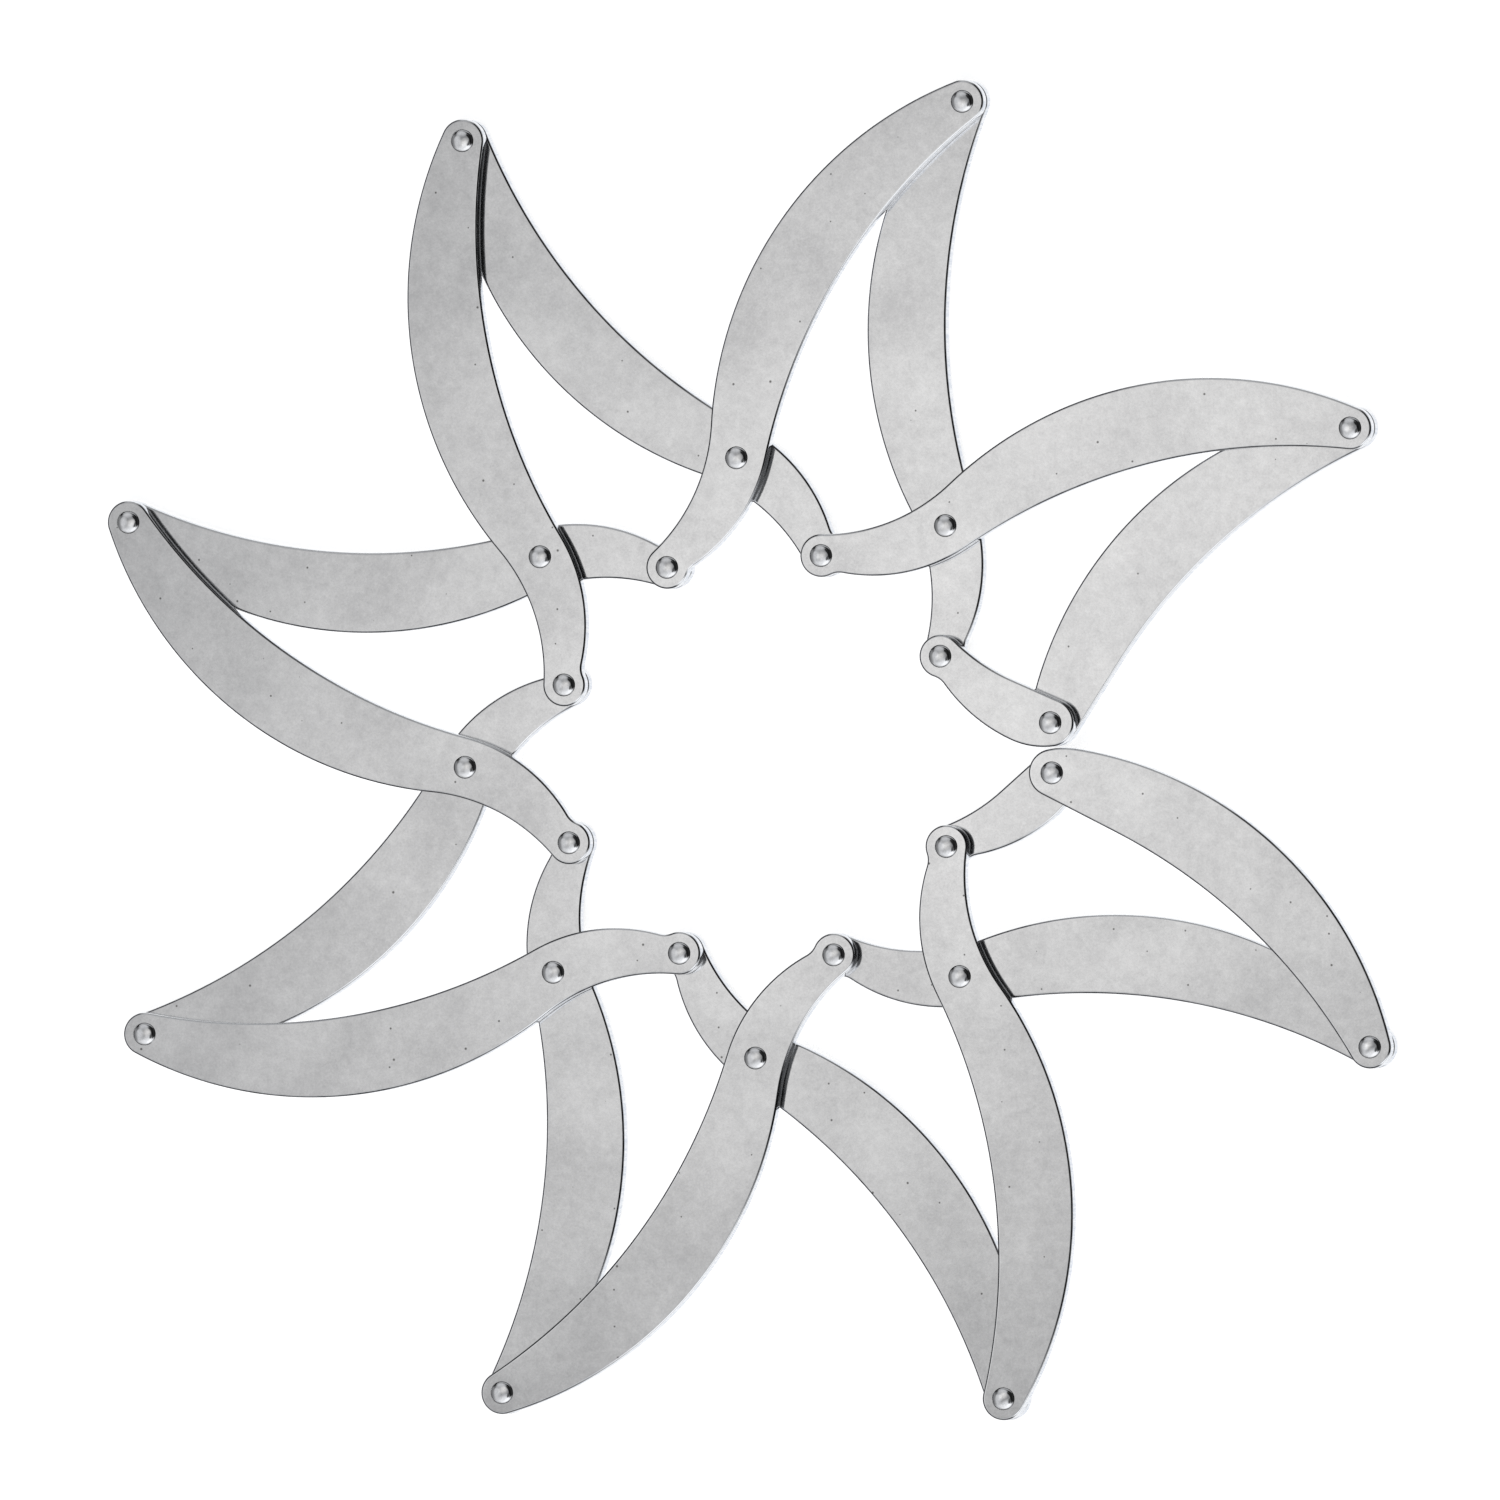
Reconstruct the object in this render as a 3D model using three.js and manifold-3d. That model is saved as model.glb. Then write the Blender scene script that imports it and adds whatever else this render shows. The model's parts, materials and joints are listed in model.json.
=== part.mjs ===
import * as THREE from "three";
import { mergeVertices } from "three/addons/utils/BufferGeometryUtils.js";
import Module from "manifold-3d";

const wasm = await Module();
wasm.setup();

// A folding trivet: two layers of flat S-shaped steel bars, riveted into a ring of petals that is cut at one
// crossing, so that the whole ring can close up like a pair of lazy tongs. Millimetres, +Z up. The lower bars
// lie on Z = 0, the cut is on the +X side, and the origin is the middle of the ring's outer box.

// Linkage
const petals = 8;
const longArm = 63;
const shortArm = 19.4;
const barThickness = 2.5;
const layerGap = 0.3;
const endGap = 0.35;

// Bar outline, as the radii of the discs that it runs round
const eyeRadius = 3.2;
const endEyeRadius = 3.55;
const bellyRadius = 57.8;
const hollowRadius = 87.5;
const shoulderRadius = 25.6;
const throatRadius = 28;
const bellyMargin = 0.45;
const hollowMargin = 0.85;
const noseDepth = 1.7;
const noseFillet = 3;
const endBlendRadius = 12;
const edgeChamfer = 0.35;

// Rivets
const shankRadius = 1;
const headLip = 0.7;
const headHeight = 0.35;
const headSeat = 0.1;
const tailLip = 0.7;
const tailRecess = 0.1;
const pinClearance = 0.15;

// Facets
const arcSagitta = 0.07;
const roundSides = 12;
const domeRings = 3;
const cutOverrun = 1;
const halvings = 50;

// Pivots in a bar's own frame: the tip pivot is the origin and the other two lie on +X.
const tipPivot = new THREE.Vector2(0, 0);
const crossingPivot = new THREE.Vector2(longArm, 0);
const innerPivot = new THREE.Vector2(longArm + shortArm, 0);

const upperLevel = barThickness + layerGap;
const headLevel = upperLevel + barThickness + headSeat;
const headRadius = shankRadius + headLip;
const tailRadius = shankRadius + tailLip;
const holeRadius = shankRadius + pinClearance;

// The point where two circles cross: to the left of the way from A to B if side is 1, to the right if -1.
function crossingPoint(centreA, radiusA, centreB, radiusB, side) {
  const way = centreB.clone().sub(centreA);
  const distance = way.length();
  const along = (radiusA ** 2 - radiusB ** 2 + distance ** 2) / (2 * distance);
  const across = side * Math.sqrt(radiusA ** 2 - along ** 2);
  way.normalize();
  const left = new THREE.Vector2(-way.y, way.x);
  return centreA.clone().addScaledVector(way, along).addScaledVector(left, across);
}

// A disc with a positive radius fills the bar, and one with a negative radius hollows it.
function disc(centre, radius) {
  return { centre, radius };
}

// The S outline: the belly and the hollow bend the long arm, and the shoulder and the throat bend the short
// arm the other way. Each touches its neighbour, so that the edges run smoothly into each other.
const tipEye = disc(tipPivot, eyeRadius);
const innerEye = disc(innerPivot, eyeRadius);
const endEye = disc(crossingPivot, endEyeRadius);
const belly = disc(
  crossingPoint(
    tipPivot,
    bellyRadius - eyeRadius,
    crossingPivot,
    bellyRadius - endEyeRadius - bellyMargin,
    1,
  ),
  bellyRadius,
);
const hollow = disc(
  crossingPoint(
    tipPivot,
    hollowRadius + eyeRadius,
    crossingPivot,
    hollowRadius + endEyeRadius + hollowMargin,
    1,
  ),
  -hollowRadius,
);
const throat = disc(
  crossingPoint(belly.centre, bellyRadius + throatRadius, innerPivot, throatRadius + eyeRadius, -1),
  -throatRadius,
);
const shoulder = disc(
  crossingPoint(hollow.centre, hollowRadius + shoulderRadius, innerPivot, shoulderRadius - noseDepth, -1),
  shoulderRadius,
);
const fillet = disc(
  crossingPoint(shoulder.centre, shoulderRadius + noseFillet, innerPivot, eyeRadius + noseFillet, 1),
  -noseFillet,
);

// Blends from a bulging edge into the smaller round end of a half bar
function endBlend(edge) {
  const reach = edge.radius - endBlendRadius;
  const centre = crossingPoint(edge.centre, reach, crossingPivot, endBlendRadius - endEyeRadius, -1);
  return disc(centre, endBlendRadius);
}

const wholeBar = [tipEye, belly, throat, innerEye, fillet, shoulder, hollow];
const longEndBar = [tipEye, belly, endBlend(belly), endEye, hollow];
const shortEndBar = [endEye, throat, innerEye, fillet, shoulder, endBlend(shoulder)];

// Runs counter-clockwise round a loop of discs and along the tangents between them.
function outlineRound(discs) {
  const normals = discs.map((here, i) => {
    const next = discs[(i + 1) % discs.length];
    const way = next.centre.clone().sub(here.centre);
    const rise = THREE.MathUtils.clamp((next.radius - here.radius) / way.length(), -1, 1);
    return way.angle() + Math.acos(rise);
  });
  const fullTurn = 2 * Math.PI;
  const points = discs.flatMap(({ centre, radius }, i) => {
    const turning = Math.sign(radius);
    const start = normals[(i + discs.length - 1) % discs.length];
    const sweep = THREE.MathUtils.euclideanModulo(turning * (normals[i] - start), fullTurn);
    const stepAngle = 2 * Math.acos(1 - arcSagitta / Math.abs(radius));
    const steps = Math.ceil(sweep / stepAngle);
    return Array.from({ length: steps + 1 }, (_, step) => {
      const angle = start + (turning * sweep * step) / steps;
      return new THREE.Vector2(
        centre.x - radius * Math.cos(angle),
        centre.y - radius * Math.sin(angle),
      );
    });
  });
  return points.filter((point, i) => point.distanceTo(points.at(i - 1)) > arcSagitta);
}

// A closed geometry as a solid, and a solid as a geometry
function solidFrom(geometry) {
  geometry.deleteAttribute("normal");
  geometry.deleteAttribute("uv");
  const merged = mergeVertices(geometry);
  return new wasm.Manifold(
    new wasm.Mesh({
      numProp: 3,
      vertProperties: merged.attributes.position.array,
      triVerts: new Uint32Array(merged.index.array),
    }),
  );
}

function geometryFrom(solid) {
  const { vertProperties, triVerts } = solid.getMesh();
  const geometry = new THREE.BufferGeometry();
  geometry.setAttribute("position", new THREE.BufferAttribute(vertProperties, 3));
  geometry.setIndex(new THREE.BufferAttribute(triVerts, 1));
  return geometry;
}

// A turned shape from its half profile, each point a radius and a height
function turned(profile) {
  const points = profile.map(([radius, height]) => new THREE.Vector2(radius, height));
  return new THREE.LatheGeometry(points, roundSides).rotateX(Math.PI / 2);
}

// Hole cutters: their flats, not their corners, stand at the named radius. The rivets' tails are peened
// into the lower bars, whose holes widen downwards for them.
const cornerShare = 1 / Math.cos(Math.PI / roundSides);
const holeCorner = holeRadius * cornerShare;
const sinkDepth = tailLip + tailRecess;
const sinkCorner = (holeRadius + sinkDepth + cutOverrun) * cornerShare;
const plainHole = turned([
  [0, -cutOverrun],
  [holeCorner, -cutOverrun],
  [holeCorner, barThickness + cutOverrun],
  [0, barThickness + cutOverrun],
]);
const sunkHole = turned([
  [0, -cutOverrun],
  [sinkCorner, -cutOverrun],
  [holeCorner, sinkDepth],
  [holeCorner, barThickness + cutOverrun],
  [0, barThickness + cutOverrun],
]);

// A flat bar with both edges chamfered and a hole at each of its pivots
function barGeometry(discs, pivots, hole) {
  const blank = new THREE.ExtrudeGeometry(new THREE.Shape(outlineRound(discs)), {
    depth: barThickness - 2 * edgeChamfer,
    bevelThickness: edgeChamfer,
    bevelSize: edgeChamfer,
    bevelOffset: -edgeChamfer,
    bevelSegments: 1,
  }).translate(0, 0, edgeChamfer);
  const drilled = pivots.reduce(
    (solid, pivot) => solid.subtract(solidFrom(hole.clone().translate(pivot.x, pivot.y, 0))),
    solidFrom(blank),
  );
  return geometryFrom(drilled);
}

function barGeometries(hole) {
  return {
    whole: barGeometry(wholeBar, [tipPivot, crossingPivot, innerPivot], hole),
    longEnd: barGeometry(longEndBar, [tipPivot, crossingPivot], hole),
    shortEnd: barGeometry(shortEndBar, [crossingPivot, innerPivot], hole),
  };
}

const upperBars = barGeometries(plainHole);
const lowerBars = barGeometries(sunkHole);

// Rivets: a domed head over the upper bar, a shank, and a tail peened flush in the lower bar.
const capRadius = (headRadius ** 2 + headHeight ** 2) / (2 * headHeight);
const capAngle = Math.asin(headRadius / capRadius);
const domeProfile = Array.from({ length: domeRings + 1 }, (_, ring) => {
  const angle = capAngle * (1 - ring / domeRings);
  return [
    ring === domeRings ? 0 : capRadius * Math.sin(angle),
    headLevel + headHeight - capRadius * (1 - Math.cos(angle)),
  ];
});
const tailProfile = [
  [0, tailRecess],
  [tailRadius, tailRecess],
  [shankRadius, tailRecess + tailLip],
];
const wholeRivet = turned([...tailProfile, [shankRadius, headLevel], ...domeProfile]);

// The rivets of the inner pivots, parted between the layers: the head stays with the upper bar and the tail
// with the lower bar.
const innerRivetHead = turned([
  [0, upperLevel],
  [shankRadius, upperLevel],
  [shankRadius, headLevel],
  ...domeProfile,
]);
const innerRivetTail = turned([...tailProfile, [shankRadius, barThickness], [0, barThickness]]);

// The ring: each petal is a kite of two long and two short arms, and the two end eyes at the cut meet when
// it is open. From the turn that each petal takes, half the angle at its tip:
function halfTipAngle(turn) {
  return Math.atan2(shortArm * Math.sin(turn), longArm - shortArm * Math.cos(turn));
}

function crossingCircle(turn) {
  return (longArm * Math.sin(halfTipAngle(turn))) / Math.sin(turn / 2);
}

function endDistance(turn) {
  return 2 * crossingCircle(turn) * Math.sin(Math.PI - (petals * turn) / 2);
}

function openTurn() {
  let least = Math.PI / petals;
  let most = (2 * Math.PI) / petals;
  for (let halving = 0; halving < halvings; halving += 1) {
    const turn = (least + most) / 2;
    if (endDistance(turn) > 2 * endEyeRadius + endGap) {
      least = turn;
    } else {
      most = turn;
    }
  }
  return (least + most) / 2;
}

const petalTurn = openTurn();
const tipHalf = halfTipAngle(petalTurn);
const crossingRing = crossingCircle(petalTurn);
const kiteCentre = crossingRing * Math.cos(petalTurn / 2);
const tipRing = kiteCentre + longArm * Math.cos(tipHalf);
const innerRing = kiteCentre - shortArm * Math.cos(petalTurn + tipHalf);

// Petal 0 starts at the cut, on crossing 0, and they count clockwise seen from above.
function bearing(place) {
  return Math.PI - (place - petals / 2) * petalTurn;
}

function petalBearing(petal) {
  return bearing(petal) - petalTurn / 2;
}

function onRing(radius, angle) {
  return new THREE.Vector2(radius * Math.cos(angle), radius * Math.sin(angle));
}

const trivet = new THREE.Group();
trivet.name = "folding_trivet";

function satinSteel() {
  return new THREE.MeshStandardMaterial({
    color: 0xc6c7c9,
    roughness: 0.45,
    metalness: 1,
    flatShading: true,
  });
}

function polishedSteel() {
  return new THREE.MeshStandardMaterial({
    color: 0xd6d6d8,
    roughness: 0.12,
    metalness: 1,
    flatShading: true,
  });
}

function addBar(name, geometry, petal, lean, level) {
  const bar = new THREE.Mesh(geometry, satinSteel());
  const tip = onRing(tipRing, petalBearing(petal));
  bar.name = name;
  bar.position.set(tip.x, tip.y, level);
  bar.rotation.z = petalBearing(petal) + Math.PI + lean;
  trivet.add(bar);
}

function addUpperBar(name, geometry, petal) {
  addBar(name, geometry, petal, -tipHalf, upperLevel);
}

function addLowerBar(name, geometry, petal) {
  addBar(name, geometry, petal, tipHalf, 0);
}

function addRivet(name, geometry, place) {
  const rivet = new THREE.Mesh(geometry, polishedSteel());
  rivet.name = name;
  rivet.position.set(place.x, place.y, 0);
  trivet.add(rivet);
}

addUpperBar("upper_long_end_bar", upperBars.longEnd, 0);
addUpperBar("upper_short_end_bar", upperBars.shortEnd, petals);
addLowerBar("lower_short_end_bar", lowerBars.shortEnd, -1);
addLowerBar("lower_long_end_bar", lowerBars.longEnd, petals - 1);
for (let number = 1; number < petals; number += 1) {
  addUpperBar(`upper_bar_${number}`, upperBars.whole, number);
  addLowerBar(`lower_bar_${number}`, lowerBars.whole, number - 1);
  addRivet(`crossing_rivet_${number}`, wholeRivet, onRing(crossingRing, bearing(number)));
}
addRivet("end_rivet_1", wholeRivet, onRing(crossingRing, bearing(0)));
addRivet("end_rivet_2", wholeRivet, onRing(crossingRing, bearing(petals)));
for (let petal = 0; petal < petals; petal += 1) {
  const number = petal + 1;
  const inner = onRing(innerRing, petalBearing(petal));
  addRivet(`tip_rivet_${number}`, wholeRivet, onRing(tipRing, petalBearing(petal)));
  addRivet(`inner_rivet_head_${number}`, innerRivetHead, inner);
  addRivet(`inner_rivet_tail_${number}`, innerRivetTail, inner);
}

const middle = new THREE.Box3().setFromObject(trivet, true).getCenter(new THREE.Vector3());
trivet.position.x = -middle.x;

export default trivet;
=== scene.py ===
import json
import math

import bmesh
import bpy
from mathutils import Matrix, Vector

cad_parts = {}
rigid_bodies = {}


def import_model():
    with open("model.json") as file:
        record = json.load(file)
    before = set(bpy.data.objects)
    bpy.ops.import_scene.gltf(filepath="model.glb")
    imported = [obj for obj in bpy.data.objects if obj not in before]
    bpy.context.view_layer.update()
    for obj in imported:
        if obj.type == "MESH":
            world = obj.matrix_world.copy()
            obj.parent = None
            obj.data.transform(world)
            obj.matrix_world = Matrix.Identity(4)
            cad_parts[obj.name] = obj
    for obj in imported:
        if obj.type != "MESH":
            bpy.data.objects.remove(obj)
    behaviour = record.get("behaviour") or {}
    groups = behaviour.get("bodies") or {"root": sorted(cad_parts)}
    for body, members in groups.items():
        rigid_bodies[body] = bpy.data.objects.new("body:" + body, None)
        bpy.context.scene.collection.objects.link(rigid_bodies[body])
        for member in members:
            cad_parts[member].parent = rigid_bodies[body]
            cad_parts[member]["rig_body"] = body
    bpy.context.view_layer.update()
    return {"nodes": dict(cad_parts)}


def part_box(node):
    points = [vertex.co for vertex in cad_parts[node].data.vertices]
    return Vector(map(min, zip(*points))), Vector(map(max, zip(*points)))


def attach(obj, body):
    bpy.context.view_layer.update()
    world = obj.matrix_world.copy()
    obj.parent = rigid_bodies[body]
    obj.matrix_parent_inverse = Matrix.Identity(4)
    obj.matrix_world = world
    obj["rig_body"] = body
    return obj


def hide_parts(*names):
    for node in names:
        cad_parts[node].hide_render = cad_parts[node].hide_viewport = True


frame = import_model()

# A folding trivet: flat S-shaped bars of satin steel in two layers, held by polished domed rivets.
# Metres.
MM = 0.001
PETALS = 8
WHOLE_BARS = 7  # in each layer

# Bars
LONG_ARM = 63 * MM
SHORT_ARM = 19.4 * MM
BAR_THICKNESS = 2.5 * MM
UPPER_LEVEL = 2.8 * MM
TOP_ROUNDING = 0.3 * MM
BOTTOM_ROUNDING = 0.25 * MM
ROUNDING_STEPS = 9
FLAT_MARGIN = 0.08 * MM
OUTLINE_INSET = 0.01 * MM
OUTLINE_SAGITTA = 0.004 * MM
OUTLINE_GAP = 0.02 * MM

# The discs that a bar's outline runs round
EYE_RADIUS = 3.2 * MM
END_EYE_RADIUS = 3.55 * MM
BELLY_RADIUS = 57.8 * MM
HOLLOW_RADIUS = 87.5 * MM
SHOULDER_RADIUS = 25.6 * MM
THROAT_RADIUS = 28 * MM
BELLY_MARGIN = 0.45 * MM
HOLLOW_MARGIN = 0.85 * MM
NOSE_DEPTH = 1.7 * MM
NOSE_FILLET = 3 * MM
END_BLEND_RADIUS = 12 * MM

# Rivets
SHANK_RADIUS = 1 * MM
HOLE_RADIUS = 1.15 * MM
HEAD_RADIUS = 1.7 * MM
HEAD_LEVEL = 5.31 * MM
HEAD_TOP = 5.745 * MM
CROWN_SLOPE = 0.23
SHOULDER_SLOPE = 0.9
SHOULDER_POWER = 8
TAIL_RADIUS = 1.7 * MM
TAIL_LEVEL = 0.1 * MM
TAIL_DEPTH = 0.7 * MM
SINK_DEPTH = 0.8 * MM
RIVET_SIDES = 56
DOME_RINGS = 22

# Meshes
WELD_DISTANCE = 0.001 * MM
SHARP_ANGLE = math.radians(30)

# Bar steel. A share is of the way from one colour to the other. A flatness is 1 where the surface
# lies flat and 0 where it stands upright: an effect begins at the first and is full at the second.
EDGE_FLATNESS = (0.998, 0.95)
SIDE_FLATNESS = (0.3, 0.05)
FACE_DARK = (0.68, 0.68, 0.685, 1)
FACE_BRIGHT = (0.925, 0.925, 0.925, 1)
SPECK_COLOUR = (0.12, 0.115, 0.11, 1)
SPECK_SHARE = 0.85
SPECK_SPACING = 5.5 * MM
SPECK_CHANCE = 0.65
SPECK_SIZES = (0.015, 0.045)
# Painted shade: the dark colour of the line along the rounded edges, and how strongly it is laid
# on
EDGE_SHADE_COLOUR = (0.06, 0.06, 0.065, 1)
EDGE_SHADE_SHARES = (0.75, 1.0)
# Painted highlight: the light colour laid on rounded edges that face a low light
LIT_EDGE_COLOUR = (0.95, 0.96, 0.97, 1)
STREAK_DARK = (0.62, 0.66, 0.72, 1)
STREAK_BRIGHT = (0.92, 0.92, 0.92, 1)
BAR_GLOSS = (0.06, 0.1)
EDGE_GLOSS = 0.03
BAR_BUMP = 0.3
BAR_BUMP_DEPTH = 0.01 * MM

# Azimuths of the low lights, on whose side a painted highlight washes out the edges' painted shade
# line, and by how much. The cosines say how closely an edge faces the light where this begins, and
# where it is full.
LOW_LIGHTS = [(-41, 0.9), (77, 0.75)]
LOW_LIGHT_COSINES = (0.905, 0.98)

# Rivet steel
DOME_BRIGHT = (0.84, 0.84, 0.84, 1)
DOME_RUBBED = (0.72, 0.72, 0.725, 1)
# Painted shade: the dark colour laid in patches on the steep foot of the dome, how much of it, and
# over which slopes
DOME_FOOT_SHADE = (0.12, 0.12, 0.13, 1)
DOME_FOOT_SHARES = (0.15, 0.7)
DOME_FOOT_FLATNESS = (0.9, 0.72)
RIVET_GLOSS = (0.04, 0.08)
RIVET_BUMP = 0.45
RIVET_BUMP_DEPTH = 0.03 * MM

# Camera
RING_CENTRE = Vector((1.757206 * MM, 0.0, 5.3 * MM))
AIM_LEFT = 1.206 * MM
AIM_UP = 1.114 * MM
CAMERA_TILT = math.radians(12.3)
CAMERA_ROLL = math.radians(1.86)
CAMERA_DISTANCE = 8.0
CAMERA_NEAR = 0.1
CAMERA_FAR = 100
SENSOR_WIDTH = 36
VIEW_HALF_WIDTH = 111.39 * MM

# Overhead panel
PANEL_PLACE = Vector((-0.162, 0.032, 1.0))
PANEL_RADIUS = 0.26
PANEL_STRETCH = 1.18
PANEL_TURN = math.radians(30)
PANEL_LIGHT = 0.585
PANEL_COLOUR = (1.0, 0.985, 0.965, 1)
PANEL_SIDES = 64

# Table
TABLE_RADIUS = 3.0
TABLE_SIDES = 96
TABLE_LEVEL = -0.05 * MM
TABLE_GLOW = 0.8
TABLE_PAPER = (0.8, 0.8, 0.8, 1)
TABLE_CLEARANCE = 6 * MM

# The studio's walls, grey by the height of a direction: -1 is straight down and 1 straight up
STUDIO_WALLS = [
    (-1.0, 1.0),
    (-0.05, 1.0),
    (0.0, 0.05),
    (0.2, 0.09),
    (0.5, 0.63),
    (0.8, 0.12),
    (1.0, 0.28),
]
STUDIO_TINT = (0.985, 1.0, 1.03, 1)
WHITE = (1, 1, 1, 1)

# What stands round the table, as round patches of the studio, each over the ones before it: name,
# azimuth, angle off straight up, inner and outer radius in degrees, and brightness.
STUDIO_PATCHES = [
    ("ceiling", 176, 26, 5, 15, 0.68),
    ("wide_softbox", 205, 44, 8, 30, 0.71),
    ("softbox", 272, 31, 13, 33, 1.0),
    ("softbox_middle", 300, 36, 16, 28, 1.25),
    ("dark_side", 30, 36, 25, 29, 0.015),
    ("dark_back", 78, 20, 4, 11, 0.2),
    ("dark_corner", 357, 34, 14, 28, 0.015),
    ("dark_gap", 320, 12, 5, 10, 0.1),
    ("light_strip", 117, 30, 4, 21, 0.64),
    ("lamp_stand", 146, 55, 9, 14, 0.04),
    ("grey_wall", 182, 60, 14, 36, 0.26),
    ("low_light", 312, 72, 8, 20, 0.7),
    ("back_light", 80, 88, 6, 16, 0.3),
    ("right_wall", 8, 66, 24, 34, 0.03),
    ("doorway", 133, 76, 12, 19, 0.03),
    ("camera", 4, 17.5, 6, 9, 0.01),
    ("photographer", 62, 17, 6, 9, 0.02),
    ("left_wall", 180, 84, 9, 29, 0.1),
]


# Node trees
def add(tree, kind, inputs=None, **settings):
    """A node with its settings, whose inputs are given a value or the socket that feeds them."""
    node = tree.nodes.new(kind)
    for name, value in settings.items():
        setattr(node, name, value)
    for name, value in (inputs or {}).items():
        if isinstance(value, bpy.types.NodeSocket):
            tree.links.new(value, node.inputs[name])
        else:
            node.inputs[name].default_value = value
    return node


def math_node(tree, operation, first, second=0.0):
    return add(tree, "ShaderNodeMath", {0: first, 1: second}, operation=operation).outputs[0]


def vector_node(tree, operation, first, second=(0.0, 0.0, 0.0)):
    """A vector, or the number that a dot product or a length gives."""
    node = add(tree, "ShaderNodeVectorMath", {0: first, 1: second}, operation=operation)
    return node.outputs["Value" if operation in ("DOT_PRODUCT", "LENGTH") else "Vector"]


def ramp(tree, value, low, high, to_low=0.0, to_high=1.0, shape="LINEAR"):
    """Value taken from low..high to to_low..to_high, held at the ends."""
    return add(
        tree,
        "ShaderNodeMapRange",
        {"Value": value, "From Min": low, "From Max": high, "To Min": to_low, "To Max": to_high},
        interpolation_type=shape,
        clamp=True,
    ).outputs["Result"]


def point(tree, x, y, z=0.0):
    return add(tree, "ShaderNodeCombineXYZ", {"X": x, "Y": y, "Z": z}).outputs[0]


def section_point(tree, out, height):
    """A point of a section that is swept round, from how far out and how high it is. A sweep turns
    its section upside down, so the height is made negative."""
    return point(tree, out, math_node(tree, "MULTIPLY", height, -1.0))


def joined(tree, shapes):
    node = tree.nodes.new("GeometryNodeJoinGeometry")
    for shape in shapes:
        tree.links.new(shape, node.inputs[0])
    return node.outputs[0]


def swept(tree, path, section):
    return add(
        tree, "GeometryNodeCurveToMesh", {"Curve": path, "Profile Curve": section}
    ).outputs[0]


def upright(tree, curve):
    """The curve with its normals level, so that a section swept along it stands upright."""
    return add(tree, "GeometryNodeSetCurveNormal", {"Curve": curve}, mode="Z_UP").outputs[0]


def new_shape_tree(name, inputs):
    """An empty Geometry Nodes tree with named inputs: the tree, its input sockets and its output
    socket."""
    tree = bpy.data.node_groups.new(name, "GeometryNodeTree")
    tree.interface.new_socket("Geometry", in_out="INPUT", socket_type="NodeSocketGeometry")
    for socket, kind in inputs.items():
        tree.interface.new_socket(socket, in_out="INPUT", socket_type=f"NodeSocket{kind}")
    tree.interface.new_socket("Geometry", in_out="OUTPUT", socket_type="NodeSocketGeometry")
    given = tree.nodes.new("NodeGroupInput").outputs
    return tree, given, tree.nodes.new("NodeGroupOutput").inputs["Geometry"]


def finish_shape(tree, parts, steel, output):
    """Welds the parts, keeps the creases sharp and the rest smooth, and gives the shape its
    steel."""
    welded = add(
        tree,
        "GeometryNodeMergeByDistance",
        {"Geometry": joined(tree, reversed(parts)), "Distance": WELD_DISTANCE},
    )
    smooth = add(
        tree,
        "GeometryNodeSetShadeSmooth",
        {"Geometry": welded.outputs[0], "Shade Smooth": True},
    )
    fold = tree.nodes.new("GeometryNodeInputMeshEdgeAngle")
    crease = add(
        tree,
        "FunctionNodeCompare",
        {"A": fold.outputs["Unsigned Angle"], "B": SHARP_ANGLE},
        operation="GREATER_THAN",
    )
    creased = add(
        tree,
        "GeometryNodeSetShadeSmooth",
        {"Geometry": smooth.outputs[0], "Selection": crease.outputs[0], "Shade Smooth": False},
        domain="EDGE",
    )
    realized = add(tree, "GeometryNodeRealizeInstances", {"Geometry": creased.outputs[0]})
    finished = add(
        tree, "GeometryNodeSetMaterial", {"Geometry": realized.outputs[0], "Material": steel}
    )
    tree.links.new(finished.outputs[0], output)


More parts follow.
